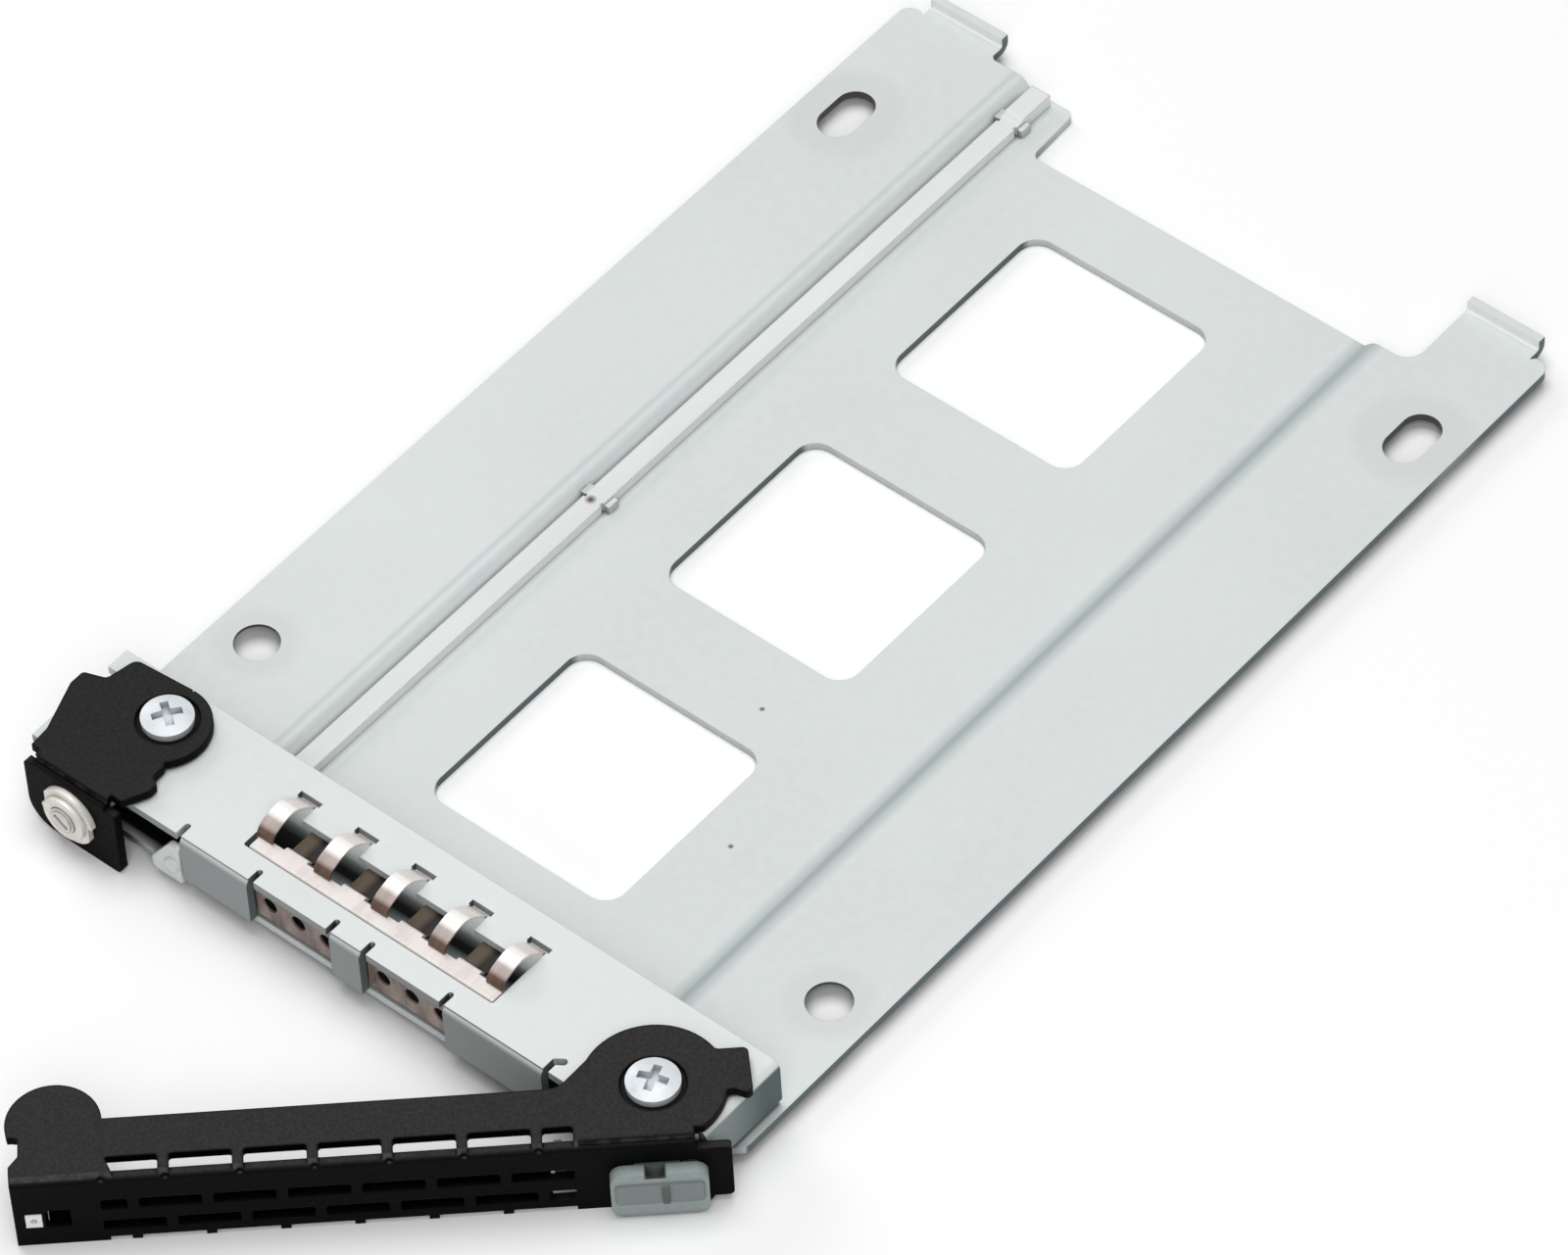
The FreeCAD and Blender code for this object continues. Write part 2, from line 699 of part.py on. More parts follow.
def grille_cuts():
    """Staggered vents: one row at the fold, two rows in the face, open notches at the lower edge."""
    cuts = []
    edge = face_v + black_t
    for k in range(-1, 6):
        a = grille_left + 5.65 + k * grille_pitch
        b = a + grille_slot
        if k == -1:
            a = grille_left + 0.55
        if k == 5:
            b = grille_right
        ring = [(a, face_v - 1, 0), (b, face_v - 1, 0), (b, vent_far, 0.3), (a, vent_far, 0.3)]
        if k == -1:
            ring[0] = (a + 1.2, face_v - 1, 0)
            ring[3] = (a, vent_far, 0.2)
        opening = slab(ring, black_low - 0.4, black_top + 1)
        cuts.append(opening.cut(box(-60, 10, face_v - 2, edge, 0, vent_low)))
        cuts.append(Part.makeSphere(dimple_r, V(a - dimple_shift, face_v - 0.1, vent_low - dimple_drop)))
    for k in range(-1, 6):
        a = max(grille_left + 3.0 + k * grille_pitch, grille_left)
        b = min(grille_left + 3.0 + k * grille_pitch + grille_slot, grille_right)
        cuts.append(rounded_slot(a, b, row_two - row_high / 2, row_two + row_high / 2, 0.3))
    for k in range(0, 7):
        a = grille_left + k * grille_pitch
        b = min(a + grille_slot, grille_right)
        cuts.append(rounded_slot(a, b, row_three - row_high / 2, row_three + row_high / 2, 0.3))
    first = grille_left + 3.0 - (grille_pitch - grille_slot) - tooth_w / 2 + 0.4
    for k in range(0, 7):
        a = first + k * grille_pitch - grille_pitch + tooth_w
        b = first + k * grille_pitch
        a = max(a, grille_left + 0.4)
        b = min(b, grille_right)
        if b - a > 0.5:
            cuts.append(box(a, b, face_v - 1, edge + 0.6, face_low - 1, grille_low))
    return cuts


def make_pull_handle():
    """Black pull handle folded from one sheet."""
    body = handle_plate().fuse(handle_fold())
    cuts = grille_cuts()
    for u, z, w, h in (window_light, window_dark):
        cuts.append(rounded_slot(u - w / 2, u + w / 2, z - h / 2, z + h / 2, 0.15))
    right = stem_right + slide_travel + stem_play
    cuts.append(rounded_slot(stem_left - stem_play, right, stem_low - stem_play, stem_top + stem_play, 0.3))
    cuts.append(drum(0, 0, 0, 9, boss_d + 0.1))
    cuts.append(drum(0, 0, black_top - recess_deep, 9, recess_d))
    cuts.append(fold_groove(grille_right + 0.4, arm_right + 1, face_v))
    return swing(clean(body.cut(Part.makeCompound(cuts))))


def make_vent_screen():
    """Thin screen behind the two lower rows of vents; the top row stays open."""
    near = face_v + black_t
    left = window_light[0] + window_light[2] / 2 + 0.45
    return swing(box(left, bolt_left - 0.3, near, near + screen_t, screen_low, screen_top))


def make_light_window():
    """Small light window pressed into the handle face."""
    u, z, w, h = window_light
    play = 0.04
    a = (u - w / 2 + play, u + w / 2 - play, z - h / 2 + play, z + h / 2 - play)
    plug = box(a[0], a[1], face_v - 0.1, face_v + black_t, a[2], a[3])
    flange = box(a[0] - 0.4, a[1] + 0.4, face_v + black_t, face_v + black_t + 0.3, a[2] - 0.4, a[3] + 0.4)
    dot = drum_y(u, z, face_v - 1, face_v + 0.3, 0.55)
    return swing(clean(plug.fuse(flange).cut(dot)))


def make_release_button():
    """Grey thumb slide with its stem through the face."""
    back = face_v - slide_gap
    front = face_v - button_proud
    ring = [(-button_half, button_low, button_r), (button_half, button_low, button_r)]
    ring += [(button_half, button_top, button_r), (-button_half, button_top, button_r)]
    cap = slab_y(ring, front, back)
    scoop = drum_y(-0.3, button_top + 0.55, front - 1, back + 1, 1.9)
    band = slab_y([(-3.5, 0.0, 0.3), (3.5, 0.0, 0.3), (3.5, 2.3, 0.3), (-3.5, 2.3, 0.3)], front - 0.18, front)
    rib = box(0.2, 0.75, front - 0.42, front, 0.15, 2.15)
    stem = box(stem_left, stem_right, back, face_v + black_t + 0.1, stem_low, stem_top)
    body = cap.cut(scoop).multiFuse([band, rib, stem])
    return swing(clean(body))


def make_latch_bolt():
    """Bolt plate behind the face, moved by the thumb slide."""
    near = face_v + black_t + 0.1
    plate = box(bolt_left, stem_right, near, near + bolt_t, bolt_low, bolt_top)
    nib = box(bolt_left, bolt_left + nib_w, near, nib_reach, bolt_low + 0.3, bolt_top - 0.3)
    pocket = box(coil_left, coil_right + slide_travel + 0.4, near - 1, near + 2, 1.45, 2.95)
    return swing(clean(plate.fuse(nib).cut(pocket)))


def make_bolt_keeper():
    """Channel fixed behind the face that guides the bolt."""
    near = face_v + black_t
    web = near + 0.1 + bolt_t + 0.1
    low = bolt_low - 0.1
    top = bolt_top + 0.1
    t = keeper_t
    ring = [(near, low - t, 0), (web + t, low - t, 0.3), (web + t, top + t, 0.3), (near, top + t, 0)]
    ring += [(near, top, 0), (web, top, 0), (web, low, 0), (near, low, 0)]
    body = slab_x(ring, keeper_left, keeper_right)
    lug = box(coil_right, coil_right + 0.35, near + 0.2, web, 1.6, 2.8)
    return swing(clean(body.fuse(lug)))


def bent_wire(points, d):
    """Wire of thickness d bent along a row of points."""
    start = points[0]
    along = (points[1] - start).normalize()
    side = along.cross(V(0, 0, 1)).normalize()
    other = along.cross(side)
    ring = []
    for k in range(6):
        a = math.radians(60 * k)
        ring.append(start + side * (d / 2 * math.cos(a)) + other * (d / 2 * math.sin(a)))
    section = Part.makePolygon(ring + [ring[0]])
    return Part.Wire(Part.makePolygon(points)).makePipeShell([section], True, False, 1)


def coil_points(radius, pitch, first, total, step):
    """Points along a coil about Z, from the angle first and through total degrees."""
    count = round(total / step)
    points = []
    for i in range(count + 1):
        a = math.radians(first + total * i / count)
        points.append(V(radius * math.cos(a), radius * math.sin(a), pitch * total * i / count / 360))
    return points


def make_bolt_spring():
    """Small compression spring that returns the bolt."""
    turns = 5
    long = coil_right - coil_left - coil_wire
    body = bent_wire(coil_points(coil_r, long / turns, 0, 360 * turns, 60), coil_wire)
    body.rotate(V(0, 0, 0), V(0, 1, 0), 90)
    body.translate(V(coil_left + coil_wire / 2, face_v + black_t + 0.1 + bolt_t / 2, 2.2))
    return swing(body)


def torsion_spring(pivot, leg_a, leg_b):
    """Torsion spring about a post; legs are (angle of leaving, length) in degrees and millimetres."""
    r = post_d / 2 + 0.15 + torsion_wire / 2
    pitch = torsion_wire + 0.08
    turn = (leg_b[0] - leg_a[0]) % 360
    turns = coil_points(r, pitch, leg_a[0], 360 * torsion_turns + turn, 36)
    a = math.radians(leg_a[0])
    b = math.radians(leg_b[0])
    first = turns[0] + V(math.sin(a), -math.cos(a), 0) * leg_a[1]
    last = turns[-1] + V(-math.sin(b), math.cos(b), 0) * leg_b[1]
    body = bent_wire([first] + turns + [last], torsion_wire)
    body.translate(V(pivot[0], pivot[1], torsion_low))
    return body


def hook_plate():
    """Top plate of the corner hook with claw, pivot lobe and nose."""
    edge = hook_face + fold_out
    left, right = hook_face_left, hook_face_right
    points = [(left + 0.1, edge, 0), (left - 0.05, -21.2, 1.5)]
    points += [(left - 1.85, -16.4, 0.8), (left - 1.85, -14.9, 0.4)]
    points += [(left + 0.15, -14.2, 0.6), (left + 0.75, -11.25, 0.8), (hook_lobe[0] - 0.4, -10.8, 0)]
    points += [(right - 0.9, -13.0, 0), (right - 0.5, -17.6, 0), (right + 0.25, -18.2, 0.6)]
    points += [(right + 0.25, -19.6, 0.3), (right + 1.1, -20.1, 0.2)]
    points += [(right + 1.1, -20.95, 0.3), (right, edge, 0)]
    plate = slab(points, black_low, black_top)
    lobe = drum(hook_lobe[0], hook_lobe[1], black_low, black_top, 2 * hook_lobe_r)
    lobe = lobe.cut(box(left - 9, hook_lobe[0] - 0.2, -30, 0, 0, 9))
    return plate.fuse(lobe)


def make_corner_hook():
    """Black corner hook folded from one sheet, carrying the key lock."""
    edge = hook_face + fold_out
    face_in = hook_face + black_t
    low = black_top - fold_out
    fold = [(hook_face, low - 0.3, 0), (face_in, low - 0.3, 0), (face_in, black_low, fold_in)]
    fold += [(edge, black_low, 0), (edge, black_top, 0), (hook_face, black_top, fold_out)]
    bend = slab_x(fold, hook_bend_left, hook_bend_right)
    left, right = hook_face_left, hook_face_right
    ring = [(left, face_low + 0.4, 2.6), (left + 4.0, face_low, 2.0)]
    ring += [(right, face_low, 0.6), (right, low - 0.05, 0.3)]
    ring += [(left, low - 0.05, 0.3)]
    face = slab_y(ring, hook_face, face_in)
    body = hook_plate().multiFuse([bend, face])
    cuts = [drum_y(lock_x, lock_z, hook_face - 1, face_in + 1, lock_body_d)]
    x, y = hook_pivot
    cuts.append(drum(x, y, 0, 9, boss_d + 0.1))
    cuts.append(drum(x, y, black_top - recess_deep, 9, recess_d))
    cuts.append(fold_groove(hook_bend_left - 0.1, hook_bend_right + 0.1, hook_face))
    return clean(body.cut(Part.makeCompound(cuts)))


def make_lock_barrel():
    """Lock barrel with a flange on the face of the hook and a raised drum."""
    front = hook_face - lock_proud
    flange = drum_y(lock_x, lock_z, front, hook_face, lock_flange_d)
    flats = [box(lock_x - 4, lock_x - 2.35, front - 1, hook_face, lock_z - 0.2, lock_z + 1.5)]
    flats.append(box(lock_x + 2.35, lock_x + 4, front - 1, hook_face, lock_z - 1.5, lock_z + 0.2))
    flange = flange.cut(Part.makeCompound(flats))
    collar = drum_y(lock_x, lock_z, front - 0.45, front, 4.3)
    body = drum_y(lock_x, lock_z, hook_face, lock_rear, lock_body_d)
    bore = drum_y(lock_x, lock_z, -30, lock_rear + 1, core_d + 2 * core_play)
    whole = flange.multiFuse([collar, body]).cut(bore)
    return clean(whole)


def make_lock_core():
    """Turning core with a key slot and a square tail for the cam."""
    front = hook_face - lock_proud - 0.45 - core_proud
    core = drum_y(lock_x, lock_z, front, lock_rear, core_d)
    tail = box(lock_x - 0.7, lock_x + 0.7, lock_rear, lock_rear + cam_t + 0.35, lock_z - 0.7, lock_z + 0.7)
    half = key_l / 2
    slot = box(lock_x - half, lock_x + half, front - 1, front + 0.7, lock_z - key_w / 2, lock_z + key_w / 2)
    slot.rotate(V(lock_x, 0, lock_z), V(0, 1, 0), 35)
    ring = drum_y(lock_x, lock_z, front - 1, front + 0.15, core_d)
    ring = ring.cut(drum_y(lock_x, lock_z, front - 2, front + 1, 2.1))
    return clean(core.fuse(tail).cut(slot.fuse(ring)))


def make_lock_cam():
    """Cam on the tail of the core; turned down it drops into the slot of the wing."""
    y0 = lock_rear + 0.02
    ring = [(lock_x - cam_w / 2, lock_z - cam_w / 2, 0.5), (lock_x + cam_reach, lock_z - 0.6, 0.3)]
    ring += [(lock_x + cam_reach, lock_z + 0.6, 0.3), (lock_x - cam_w / 2, lock_z + cam_w / 2, 0.5)]
    cam = slab_y(ring, y0, y0 + cam_t)
    return clean(cam.cut(box(lock_x - 0.7, lock_x + 0.7, -30, 0, lock_z - 0.7, lock_z + 0.7)))


def make_lock_clip():
    """Spring clip that holds the barrel behind the face."""
    y0 = hook_face + black_t
    ring = drum_y(lock_x, lock_z, y0, y0 + clip_ring_t, clip_ring_d)
    ring = ring.cut(drum_y(lock_x, lock_z, y0 - 1, y0 + 2, lock_body_d))
    return clean(ring.cut(box(lock_x - 0.9, lock_x + 0.9, y0 - 1, y0 + 1, lock_z - 5, lock_z)))


def make_foot_rivets():
    """Rivets joining the feet of the bridge to the wings."""
    solids = []
    for x, y in rivet_spots:
        body = drum(x, y, -sheet, sheet, rivet_d)
        top = drum(x, y, sheet, sheet + rivet_head_h, rivet_head_d)
        low = drum(x, y, -sheet - rivet_head_h, -sheet, rivet_head_d)
        solids.append(clean(body.multiFuse([top, low])))
    return Part.makeCompound(solids)


def main():
    """Write one file per part."""
    os.makedirs("parts", exist_ok=True)
    named = {
        "tray_plate": make_tray_plate(),
        "light_pipe": make_light_pipe(),
        "front_bridge": make_front_bridge(),
        "spring_finger_strip": make_spring_strip(),
        "foot_rivets": make_foot_rivets(),
        "handle_post": clinch_post(handle_pivot),
        "hook_post": clinch_post(hook_pivot),
        "handle_washer": pivot_washer(handle_pivot),
        "hook_washer": pivot_washer(hook_pivot),
        "handle_screw": pivot_screw(handle_pivot, 20),
        "hook_screw": pivot_screw(hook_pivot, 55),
        "handle_spring": torsion_spring(handle_pivot, handle_legs[0], handle_legs[1]),
        "hook_spring": torsion_spring(hook_pivot, hook_legs[0], hook_legs[1]),
        "pull_handle": make_pull_handle(),
        "vent_screen": make_vent_screen(),
        "light_window": make_light_window(),
        "release_button": make_release_button(),
        "latch_bolt": make_latch_bolt(),
        "bolt_keeper": make_bolt_keeper(),
        "bolt_spring": make_bolt_spring(),
        "corner_hook": make_corner_hook(),
        "lock_barrel": make_lock_barrel(),
        "lock_core": make_lock_core(),
        "lock_cam": make_lock_cam(),
        "lock_clip": make_lock_clip(),
    }
    for name, shape in named.items():
        shape.exportStep("parts/" + name + ".step")


main()
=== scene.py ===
import bpy
import math
from mathutils import Matrix, Vector


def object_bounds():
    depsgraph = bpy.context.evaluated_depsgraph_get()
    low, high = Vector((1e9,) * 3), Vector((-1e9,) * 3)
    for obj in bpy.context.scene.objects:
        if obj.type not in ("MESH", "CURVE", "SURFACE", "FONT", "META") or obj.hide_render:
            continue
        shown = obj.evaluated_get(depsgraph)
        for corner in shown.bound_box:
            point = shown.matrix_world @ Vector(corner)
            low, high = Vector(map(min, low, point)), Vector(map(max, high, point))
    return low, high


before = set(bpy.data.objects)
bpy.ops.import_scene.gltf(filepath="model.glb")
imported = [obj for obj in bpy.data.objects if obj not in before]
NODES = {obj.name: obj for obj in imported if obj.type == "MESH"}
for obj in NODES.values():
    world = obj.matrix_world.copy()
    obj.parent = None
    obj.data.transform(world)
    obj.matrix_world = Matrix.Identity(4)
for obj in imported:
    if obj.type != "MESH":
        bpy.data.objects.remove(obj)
cad_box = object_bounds()
MM = 0.001

# Directions on the part at rest
RIGHT = (1, 0, 0)
BACK = (0, 1, 0)
FRONT = (0, -1, 0)
UP = (0, 0, 1)
DOWN = (0, 0, -1)
OPEN = math.radians(42.8)
ARM_WAY = (math.cos(OPEN), math.sin(OPEN), 0.0)
FACE_WAY = (math.sin(OPEN), -math.cos(OPEN), 0.0)

# Camera at the photo's viewing angle
AZIMUTH = math.radians(42.63)
ELEVATION = math.radians(49.12)
ROLL = math.radians(-3.61)
DISTANCE = 778.74 * MM
SHIFT_R = -20.03 * MM
SHIFT_U = -15.59 * MM
FOCAL_PX = 9754.4
IMAGE_W = 1600
SENSOR = 36.0
CLIP_START = 0.01
CLIP_END = 20

# Studio
AIM = (0.0, 0.03, 0.0)
FLOOR_Z = cad_box[0][2] - 0.02 * MM
FLOOR_REACH = 3.0
FLOOR_COLOUR = (0.93, 0.93, 0.93)
SKY_COLOUR = (0.97, 0.985, 1.0)
SKY_STRENGTH = 0.17
SOFTBOXES = {
    "softbox_top": {"spot": (-0.08, 0.10, 0.95), "size": (0.7, 0.7), "watts": 6.1},
    "softbox_near": {"spot": (0.42, -0.45, 0.72), "size": (0.5, 0.5), "watts": 2.8},
    "softbox_left": {"spot": (-0.8, 0.25, 0.5), "size": (0.5, 0.4), "watts": 2.0},
    "fill_front": {"spot": (0.45, -0.75, 0.4), "size": (0.6, 0.4), "watts": 0.7},
}

# Colours
ZINC_PLATE = (0.617, 0.65, 0.644)
ZINC_BRIDGE = (0.65, 0.681, 0.674)
# Painted shade on zinc faces that face right
ZINC_SIDE_SHADE = (0.12, 0.155, 0.155)
# Painted shade on the bridge's front panels
ZINC_FRONT_SHADE = (0.31, 0.325, 0.325)
# Painted shade along the joggles
JOGGLE_SHADE = (0.37, 0.42, 0.42)
# Painted shade ring round the holes
HOLE_RING_SHADE = (0.52, 0.545, 0.53)
# Painted shade on the hole walls
HOLE_WALL_SHADE = (0.085, 0.078, 0.072)
SPECK = (0.16, 0.16, 0.15)
# Painted light on the rear lips
LIP_LIGHT = (0.93, 0.95, 0.94)
# Painted shade in zinc corners
ZINC_CORNER_SHADE = (0.012, 0.013, 0.013)
# Painted shade: near-black for places deep in shade
DEEP_SHADE_BLACK = (0.002, 0.002, 0.002)
# Painted light: lit strip of plate under the spring fingers
ROOM_STRIP_LIGHT = (0.50, 0.58, 0.59)
# Painted shade on the bridge's right flange, lighter at the front
FLANGE_SHADE_FRONT = (0.36, 0.41, 0.41)
FLANGE_SHADE_BACK = (0.08, 0.12, 0.115)
# Painted shade on faces that face down
UNDERSIDE_SHADE = (0.02, 0.02, 0.02)
HANDLE_BLACK = (0.0235, 0.0224, 0.0219)
HOOK_BLACK = (0.0155, 0.0155, 0.0153)
# Painted shade in the corners and on the rims of powder coat
CAVITY_SHADE = (0.0002, 0.0002, 0.0002)
RIM_SHADE = (0.0006, 0.0006, 0.0006)
STEEL = (0.5, 0.5, 0.49)
RIVET_STEEL = (0.62, 0.63, 0.63)
SCREW_ZINC = (0.63, 0.665, 0.69)
LOCK_PLATE = (0.86, 0.82, 0.77)
LOCK_CORE = (0.72, 0.69, 0.66)
SPRING_BASE = (0.6, 0.55, 0.52)
SPRING_PALE = (0.68, 0.62, 0.59), (0.76, 0.71, 0.68)
# Painted shade on the finger fronts, darker at their feet
SPRING_FRONT_SHADE = (0.40, 0.32, 0.29), (0.50, 0.43, 0.40)
SPRING_FOOT_SHADE = (0.085, 0.046, 0.03), (0.17, 0.10, 0.07)
# Painted shade on the strip's face below the band
SPRING_WALL_SHADE = (0.13, 0.09, 0.075), (0.40, 0.31, 0.265)
# Painted highlight on the finger crests
SPRING_CREST_HIGHLIGHT = (0.88, 0.86, 0.83)
# Painted shade on the tongues, near-black in the gaps between them
TONGUE_SHADE = (0.085, 0.063, 0.044)
TONGUE_GAP_SHADE = (0.006, 0.004, 0.003)
# Painted shade in the strip's corners
SPRING_CORNER_SHADE = (0.01, 0.008, 0.007)
PIPE_BASE = (0.8, 0.82, 0.82)
PIPE_TONES = (0.66, 0.68, 0.68), (0.74, 0.76, 0.755)
# Painted light on the pipe's right side
PIPE_SIDE_LIGHT = (0.86, 0.88, 0.87)
# Painted shade along the pipe's edges and in its corners
PIPE_EDGE_SHADE = (0.44, 0.47, 0.47)
PIPE_CORNER_SHADE = (0.34, 0.37, 0.37)
PIPE_SPECK = (0.12, 0.075, 0.065)
WASHER_GREY = (0.5, 0.5, 0.48)
BUTTON_GREY = (0.285, 0.333, 0.326)
# Painted shade in the thumb scoop
SCOOP_SHADE = (0.01, 0.01, 0.01)
WINDOW_WHITE = (0.8, 0.8, 0.79)

# Places on the tray plate in millimetres, across and along it
HOLE_SPAN = 61.72
HOLE_RUN = 76.6
HOLE_R = 2.0
SLOT_R = 3.4
PANEL_DROP = 1.1
SPECKS = (13.65, 8.1), (6.25, 20.9)
LIP_START = 86.5
CHANNEL = -22.7, -15.5
# Bands of painted shade along the joggle slopes
JOGGLE_SHADE_BANDS = (
    {"from_x": 20.0, "to_x": 22.2, "blend": 0.6, "share": 0.9},
    {"from_x": -22.6, "to_x": -22.2, "blend": 0.25, "share": 0.5},
    {"from_x": -20.7, "to_x": -20.3, "blend": 0.2, "share": 0.7},
)
ROOM_X = -34.0, 34.0
ROOM_Y = -21.5, -17.5
SLOT_ROOM_X = -18.5, 12.5
SLOT_ROOM_Y = -21.2, -12.4
STRIP_X = -12.4, 10.6
STRIP_Y = -16.0, -14.6

# Places on the bridge
FLANGE_X = 33.25
FLANGE_FADE = -19.5, -12.5
PANEL_Y = -20.5

# Places on the spring strip
BAND_TOP = 5.38
BAND_UNDER = 4.8
FOOT_TOP = 6.325
CREST = 6.8
ARCH_FRONT = -16.2
WALL_Y = -20.4
TONGUE_Y = -18.05
FINGER_FIRST = -12.8
FINGER_PITCH = 6.15
TONGUE_SHARE = 0.46, 0.56
ARCH_INSIDE = (0, 0.5, -0.87)

# Places on the light pipe, along the arm on the thumb slide, and depths behind their faces
PIPE_CLIP = (-19.35, 29.1, -0.1)
SCOOP = 7.2, 8.9
SCOOP_DEPTH = 0.47
BAND_DEPTH = 0.34
RIB_DEPTH = 0.14
WINDOW_DEPTH = 0.45


def toned(colour, gain):
    return tuple(c * gain for c in colour)


def between(first, second):
    """Direction halfway between two directions."""
    return tuple((Vector(first) + Vector(second)).normalized())


def make_camera():
    ahead = Vector((-math.sin(AZIMUTH), math.cos(AZIMUTH), 0.0))
    right = Vector((math.cos(AZIMUTH), math.sin(AZIMUTH), 0.0))
    back = math.sin(ELEVATION) * Vector(UP) - math.cos(ELEVATION) * ahead
    up = back.cross(right)
    rolled_right = math.cos(ROLL) * right + math.sin(ROLL) * up
    rolled_up = -math.sin(ROLL) * right + math.cos(ROLL) * up
    data = bpy.data.cameras.new("camera")
    data.sensor_width = SENSOR
    data.lens = FOCAL_PX * SENSOR / IMAGE_W
    data.clip_start = CLIP_START
    data.clip_end = CLIP_END
    camera = bpy.data.objects.new("camera", data)
    place = Matrix((rolled_right, rolled_up, back)).transposed().to_4x4()
    place.translation = DISTANCE * back - SHIFT_R * rolled_right - SHIFT_U * rolled_up
    camera.matrix_world = place
    bpy.context.scene.collection.objects.link(camera)
    bpy.context.scene.camera = camera


def put(tree, slot, value):
    """Link a socket to a slot, or write a number, direction or colour there."""
    if isinstance(value, bpy.types.NodeSocket):
        tree.links.new(value, slot)
    elif slot.type == "RGBA":
        slot.default_value = (*value, 1)
    else:
        slot.default_value = value


def add_node(tree, kind, values, **settings):
    """New shader node with its settings and the values of its input slots."""
    node = tree.nodes.new("ShaderNode" + kind)
    for name, value in settings.items():
        setattr(node, name, value)
    for slot, value in values.items():
        put(tree, node.inputs[slot], value)
    return node


def make_world():
    """Soft sky, white where the camera, gloss or a clear part looks at it."""
    world = bpy.data.worlds.new("studio")
    bpy.context.scene.world = world
    world.use_nodes = True
    tree = world.node_tree
    tree.nodes.clear()
    soft = add_node(tree, "Background", {"Color": SKY_COLOUR, "Strength": SKY_STRENGTH})
    white = add_node(tree, "Background", {"Color": (1, 1, 1), "Strength": 1.0})
    path = add_node(tree, "LightPath", {})
    looks = path.outputs["Is Camera Ray"]
    for ray in ("Is Glossy Ray", "Is Transmission Ray"):
        looks = add_node(tree, "Math", {0: looks, 1: path.outputs[ray]}, operation="MAXIMUM").outputs[0]
    mix = add_node(tree, "MixShader", {0: looks, 1: soft.outputs[0], 2: white.outputs[0]})
    add_node(tree, "OutputWorld", {"Surface": mix.outputs[0]})


def area_light(name, spot, size, watts):
    data = bpy.data.lights.new(name, "AREA")
    data.shape = "RECTANGLE"
    data.size = size[0]
    data.size_y = size[1]
    data.energy = watts
    lamp = bpy.data.objects.new(name, data)
    lamp.location = spot
    lamp.rotation_euler = (Vector(AIM) - Vector(spot)).to_track_quat("-Z", "Y").to_euler()
    bpy.context.scene.collection.objects.link(lamp)


def make_floor():
    mesh = bpy.data.meshes.new("floor")
    corners = [(x * FLOOR_REACH, y * FLOOR_REACH, 0) for x, y in ((-1, -1), (1, -1), (1, 1), (-1, 1))]
    mesh.from_pydata(corners, [], [(0, 1, 2, 3)])
    floor = bpy.data.objects.new("floor", mesh)
    floor.location = (0, 0, FLOOR_Z)
    bpy.context.scene.collection.objects.link(floor)
    floor.data.materials.append(Shade("floor", FLOOR_COLOUR, metallic=0.0, rough=0.9, specular=0.0).mat)


def make_studio():
    make_world()
    for name, lamp in SOFTBOXES.items():
        area_light(name, **lamp)
    make_floor()


